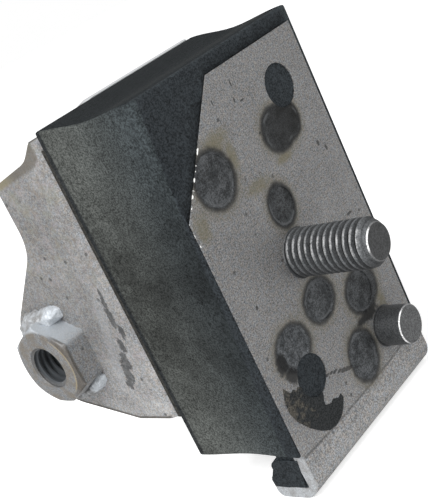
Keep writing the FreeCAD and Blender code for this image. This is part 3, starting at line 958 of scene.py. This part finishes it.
def threaded_stud():
    """Thread cut to its blank, with the shoulder and the head that hide behind the plate."""
    size = STUD
    tip, foot = size["length"], size["relief"]
    spare = 2 * PITCH
    rod = thread("threaded_stud", size["radius"], 15)
    over = size["radius"] + 0.1
    blank = turned("blank", [
        (0, spare), (size["radius"] - size["point"], spare),
        (over, spare + size["taper"]), (over, spare + tip - foot),
        (0, spare + tip - foot)])
    join_solid(rod, blank, "INTERSECT")
    only(rod)
    bpy.ops.transform.translate(value=(0, 0, (-spare - tip) * MM))
    settle()
    foot_profile = [
        (0, -foot - 0.2), (size["relief_radius"], -foot - 0.2), (size["relief_radius"], 0),
        (size["shoulder"], 0), (size["shoulder"], size["seat"]), (size["head"], size["seat"]),
        (size["head"], size["back"]), (0, size["back"])]
    join_solid(rod, turned("foot", foot_profile))
    lay_along_y(rod)
    return tidy(rod, 35)


stud = threaded_stud()
dress(stud, finishes["stud_steel"], "stud_steel", "mounting_stud")
print("stud volume", round(volume(stud)), "mm3")

# %% [markdown]
# ## The locating pin
# A plain round pin next to the stud. Its free end was faced on a lathe, which leaves a small
# chamfer with a burnished rim, painted bright as a highlight on one side, and the faintest
# dish in the middle.

# %% Pin
PIN = {"across": PIN_FOOT[0], "up": PIN_FOOT[2], "radius": 5.55, "length": 8.2, "point": 0.6,
       "relief": 0.4, "relief_radius": 5.3, "shoulder": 5.8, "seat": 5.7, "head": 6.6,
       "back": 8.7}


def locating_pin():
    size = PIN
    tip = -size["length"]
    pin = turned("plain_pin", [
        (0, tip + 0.12), (size["radius"] - 1.6, tip + 0.10), (size["radius"] - 0.75, tip),
        (size["radius"] - 0.45, tip + 0.04), (size["radius"] - 0.12, tip + 0.30),
        (size["radius"], tip + 0.75), (size["radius"], -size["relief"]),
        (size["relief_radius"], -size["relief"]), (size["relief_radius"], 0),
        (size["shoulder"], 0), (size["shoulder"], size["seat"]), (size["head"], size["seat"]),
        (size["head"], size["back"]), (0, size["back"])])
    lay_along_y(pin)
    only(pin)
    bpy.ops.transform.translate(value=(size["across"] * MM, 0, size["up"] * MM))
    return tidy(pin, 25)


pin = locating_pin()
dress(pin, finishes["pin_steel"], "pin_steel", "locating_pin")

# %% [markdown]
# ## The weld nut
# A hexagon whose outer corners were turned off at 30 degrees, bored, threaded right through
# and welded to the ear along two of its flats. The thread is cut with a copy of the same
# helix that makes the stud.

# %% Nut
NUT = {"flats": 22.2, "height": 8.2, "face": 10.3, "bore": 5.4, "lead": 1.1,
       "back": NUT_CENTRE[1], "up": NUT_CENTRE[2], "seat": -31.0}


def lay_along_minus_x(piece):
    """Turn a piece made about Z so that its Z runs along -X, and seat it on the ear."""
    only(piece)
    piece.rotation_euler = (0, math.radians(-90), 0)
    settle()
    bpy.ops.transform.translate(
        value=(NUT["seat"] * MM, NUT["back"] * MM, NUT["up"] * MM))
    settle()


def weld_nut():
    size = NUT
    corner = size["flats"] / math.sqrt(3)
    bpy.ops.object.select_all(action="DESELECT")
    bpy.ops.mesh.primitive_cylinder_add(
        vertices=6, radius=corner * MM, depth=size["height"] * MM,
        location=(0, 0, size["height"] / 2 * MM), rotation=(0, 0, math.radians(30)))
    nut = bpy.context.object
    nut.name = "threaded_nut"
    settle()
    pick(nut, "EDGE", lambda edge: abs(edge.verts[0].co.z - edge.verts[1].co.z) > MM)
    soften(0.5)
    top = size["height"]
    crown = turned("crown", [(0, -1), (corner * 2, -1), (corner * 2, top - corner * 0.577),
                             (size["face"] + 1.0, top - 0.45), (size["face"], top), (0, top)])
    join_solid(nut, crown, "INTERSECT")
    bore = turned("bore", [
        (0, -1), (size["bore"] + size["lead"], -1), (size["bore"] + size["lead"], 0),
        (size["bore"], size["lead"]), (size["bore"], top - size["lead"]),
        (size["bore"] + size["lead"], top), (size["bore"] + size["lead"], top + 1),
        (0, top + 1)])
    join_solid(nut, bore, "DIFFERENCE")
    tap = thread("tap", STUD["radius"] + 0.05, 6)
    only(tap)
    bpy.ops.transform.translate(value=(0, 0, -2 * MM))
    settle()
    join_solid(nut, tap, "DIFFERENCE")
    lay_along_minus_x(nut)
    low = Vector((0, NUT["back"], NUT["up"] - NUT["flats"] / 2)) * MM
    pick(nut, "FACE", everything)
    bpy.ops.mesh.bisect(plane_co=low, plane_no=(0, 0.06, -1), use_fill=True,
                        clear_outer=True)
    leave()
    return tidy(nut, 25)


nut = weld_nut()
dress(nut, finishes["nut_steel"], "nut_steel", "weld_nut")
print("nut volume", round(volume(nut)), "mm3")

# %% [markdown]
# ## Weld beads
# Two passes of weld hold the nut. A bead is a row of puddles, each frozen over the one
# before: crude balls of different sizes and turns are remeshed into one skin, smoothed a
# little so that their facets stay as lumps, and cut flat where the bead sits on the ear.
# Each puddle is given as its place back and up on the ear, its radius and its height.

# %% Weld beads
BEADS = {
    "upper_weld": [(76.2, 2.8, 3.6, 4.6), (74.2, 4.4, 3.8, 5.4), (71.6, 5.0, 3.6, 5.6),
                   (69.0, 5.2, 3.3, 5.2), (66.6, 5.8, 3.2, 5.2), (64.2, 6.2, 3.2, 5.6),
                   (62.6, 6.6, 2.6, 5.0), (73.4, 2.6, 3.2, 7.0), (76.6, -0.6, 2.6, 5.4),
                   (65.4, 4.0, 2.4, 6.2), (70.2, 3.8, 2.6, 7.2)],
    "lower_weld": [(72.0, -19.4, 1.9, 3.2), (69.6, -19.6, 2.0, 3.4), (66.8, -19.2, 2.0, 3.2),
                   (64.2, -18.4, 2.1, 3.0), (61.6, -17.2, 2.3, 3.2), (59.4, -16.0, 2.4, 3.4),
                   (58.0, -15.0, 2.0, 3.0)],
}


def weld_bead(name, puddles):
    lumps = []
    for turn, (back, up, radius, height) in enumerate(puddles):
        bpy.ops.object.select_all(action="DESELECT")
        bpy.ops.mesh.primitive_ico_sphere_add(
            subdivisions=1, radius=radius * MM, rotation=(turn * 1.3, turn * 2.1, turn * 0.7),
            location=(NUT["seat"] * MM, back * MM, up * MM))
        lump = bpy.context.object
        bpy.ops.object.transform_apply(location=False, rotation=True, scale=True)
        lump.scale = (height / radius, 1.0, 1.0)
        lumps.append(lump)
    only(lumps[0])
    for lump in lumps:
        lump.select_set(True)
    bpy.ops.object.join()
    bead = bpy.context.object
    bead.name = name
    settle()
    modify(bead, "REMESH", mode="VOXEL", voxel_size=0.25 * MM)
    modify(bead, "SMOOTH", factor=0.5, iterations=5)
    seat = box("seat", (NUT["seat"], 40, -40), (NUT["seat"] + 20, 90, 30))
    join_solid(bead, seat, "DIFFERENCE")
    return tidy(bead, 60)


for name, puddles in BEADS.items():
    dress(weld_bead(name, puddles), finishes["weld_steel"], "nut_steel")

# %% [markdown]
# ## The rubber block
# The rubber was moulded round the plates. Its free sides draw in a little between the two
# bonded ends, its edges are soft, a lip runs round the bracket's bends, and a strip of it
# fills the hook. The block is shaped first, then what lay in the mould is cut away.

# %% Rubber forms
RUBBER = {"left": -30.7, "right": 34.2, "front": 0.3, "rear": 35.3, "low": -41.2, "top": 55.3}


def rubber_block():
    size = RUBBER
    block = box("moulded_rubber", (size["left"], size["front"], size["low"]),
                (size["right"], size["rear"], size["top"]))
    pick(block, "FACE", everything)
    bpy.ops.mesh.subdivide(number_cuts=11)
    leave()
    middle = (size["front"] + size["rear"]) / 2 * MM
    reach = (size["rear"] - size["front"]) * 0.47 * MM
    pulls = [("z", size["top"], (0, 0, -1.1)), ("x", size["right"], (-0.9, 0, 0)),
             ("z", size["low"], (0, 0, 0.6)), ("x", size["left"], (0.35, 0, 0))]
    for axis, level, move in pulls:
        pick(block, "VERT", lambda vertex: (
            abs(getattr(vertex.co, axis) - level * MM) < 0.01 * MM
            and abs(vertex.co.y - middle) < 0.1 * MM))
        bpy.ops.transform.translate(
            value=Vector(move) * MM, use_proportional_edit=True,
            proportional_edit_falloff="SMOOTH", proportional_size=reach)
        leave()
    pick(block, "EDGE", lambda edge: edge.calc_face_angle(0) > math.radians(60))
    soften(0.7)
    return tidy(block)


rubber = rubber_block()
print("block volume", round(volume(rubber)), "mm3")

# %% Snubber, lip and cut-outs
def snubber():
    """The strip of rubber that fills the hook and laps over its lip and over its end."""
    back, floor = 12.3, -51.6
    strip = draw("snubber", [(-29.7, 1.6, -38.0), (-29.7, 1.6, floor), (-29.7, back, floor),
                             (-29.7, back, -44.6), (-29.7, back - 0.5, -43.7),
                             (-29.7, back - 3.2, -41.6), (-29.7, back - 3.5, -38.0)])
    pull(strip, (62.0, 0, 0))
    skin = draw("skin", [
        (-30.2, 2.3, -42.2), (-30.2, 3.4, -50.2), (-30.2, 5.2, -50.6), (-30.2, 7.2, -50.2),
        (-30.2, 9.0, -50.8), (-30.2, 11.4, -50.7), (-30.2, 13.7, -50.6), (-30.2, 13.9, -48.6),
        (-30.2, 12.9, -47.0), (-30.2, 11.4, -44.6), (-30.2, 10.2, -43.1), (-30.2, 9.0, -42.4)])
    pull(skin, (1.0, 0, 0))
    pick(skin, "EDGE", lambda edge: all(vertex.co.x < -30.1 * MM for vertex in edge.verts))
    soften(0.15, 2)
    return join_solid(strip, tidy(skin))


def rear_lip():
    lip = box("rear_lip", (-30.2, 32.0, -28.8), (33.7, 36.9, 50.3))
    pick(lip, "EDGE", lambda edge: abs(edge.verts[0].co.z - edge.verts[1].co.z) > 5 * MM)
    soften(0.5)
    return tidy(lip)


join_solid(rubber, snubber())
join_solid(rubber, rear_lip())
for node in ("front_plate", "retainer_plate", "mounting_bracket"):
    insert = from_cad(node, "insert", flat_faces=node == "front_plate")
    if node == "retainer_plate":
        # Its front is pulled a little into the front plate, so that no film is left between
        # the two hollows.
        pick(insert, "VERT", lambda vertex: vertex.co.y < 3.3 * MM)
        bpy.ops.transform.translate(value=(0, -0.05 * MM, 0))
        leave()
    join_solid(rubber, insert, "DIFFERENCE")
    pick(rubber, "VERT", everything)
    bpy.ops.mesh.remove_doubles(threshold=DOUBLE * MM)
    leave()
tidy(rubber, 32)
dress(rubber, finishes["mount_rubber"], "mount_rubber", "rubber_block")
print("rubber volume", round(volume(rubber)), "mm3")

# %% [markdown]
# ## Rubber flash
# Rubber that squeezed out under the plate's lower hole froze there as a thin ragged skin.
# It is drawn on the plate point by point, pulled out by a fifth of a millimetre and softened.

# %% Flash
FLASH = 0.22
FLASH_OUTLINE = [
    (-26.0, -23.6), (-27.4, -26.7), (-27.5, -30.0), (-26.2, -33.3), (-23.4, -37.2),
    (-20.0, -40.5), (-17.3, -42.3), (-14.4, -42.8), (-11.6, -42.3), (-9.6, -41.0),
    (-7.8, -38.7), (-8.2, -37.4), (-9.4, -37.8), (-10.3, -37.4), (-11.5, -36.7),
    (-12.6, -37.2), (-13.6, -36.9), (-15.0, -36.2), (-14.9, -35.0), (-13.9, -33.2),
    (-16.2, -32.8), (-18.6, -31.4), (-20.1, -29.1), (-20.3, -27.0), (-21.2, -26.4),
    (-22.0, -26.9), (-23.0, -25.9), (-24.2, -26.2), (-25.3, -24.6)]


def flash_skin():
    skin = draw("rubber_flash", [(x, 0.12, z) for x, z in FLASH_OUTLINE])
    pull(skin, (0, -FLASH - 0.12, 0))
    pick(skin, "EDGE", lambda edge: all(vertex.co.y < -0.1 * MM for vertex in edge.verts)
         and edge.calc_face_angle(0) > 1)
    soften(0.16, 2)
    return tidy(skin, 60)


flash = flash_skin()
dress(flash, finishes["flash_rubber"], "mount_rubber")

# %% [markdown]
# ## The plates
# The front plate, the bracket and the hidden retainer have their real shape in the CAD model.
# The two that show are copied, and their sheared edges are broken by a narrow bevel, so that
# each edge catches the light as a real one does. The uppermost weld is wider than its round
# dent, so that dent is levelled and only the material shows the weld there.

# %% Plates
def level_dent(piece, across, up, radius, depth=0.25):
    """Raise a dent's floor to the face around it."""
    centre = Vector((across, depth, up)) * MM
    pick(piece, "VERT", lambda vertex: abs(vertex.co.y - centre.y) < 0.01 * MM
         and (vertex.co - centre).length < radius * MM)
    bpy.ops.transform.translate(value=(0, -depth * MM, 0))
    bpy.ops.mesh.select_all(action="SELECT")
    bpy.ops.mesh.remove_doubles(threshold=DOUBLE * MM)
    bpy.ops.mesh.dissolve_limited(angle_limit=math.radians(0.5))
    leave()


def broken_edges(node, name, width, angle=28, dent=None):
    piece = from_cad(node, name)
    if dent:
        level_dent(piece, *dent)
    modify(piece, "BEVEL", width=width * MM, segments=2, limit_method="ANGLE",
           angle_limit=math.radians(angle), use_clamp_overlap=True)
    return tidy(piece, 40, merge=False)


plate = broken_edges("front_plate", "hooked_plate", 0.18, dent=(12.3, 29.3, 6.2))
dress(plate, finishes["plate_steel"], "plate_steel", "front_plate")
bracket = broken_edges("mounting_bracket", "clevis_bracket", 0.25)
dress(bracket, finishes["bracket_steel"], "bracket_steel", "mounting_bracket")
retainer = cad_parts["retainer_plate"]
for slot in retainer.material_slots:
    slot.material = finishes["retainer_steel"].material
print("plate volume", round(volume(plate)), "bracket volume", round(volume(bracket)))
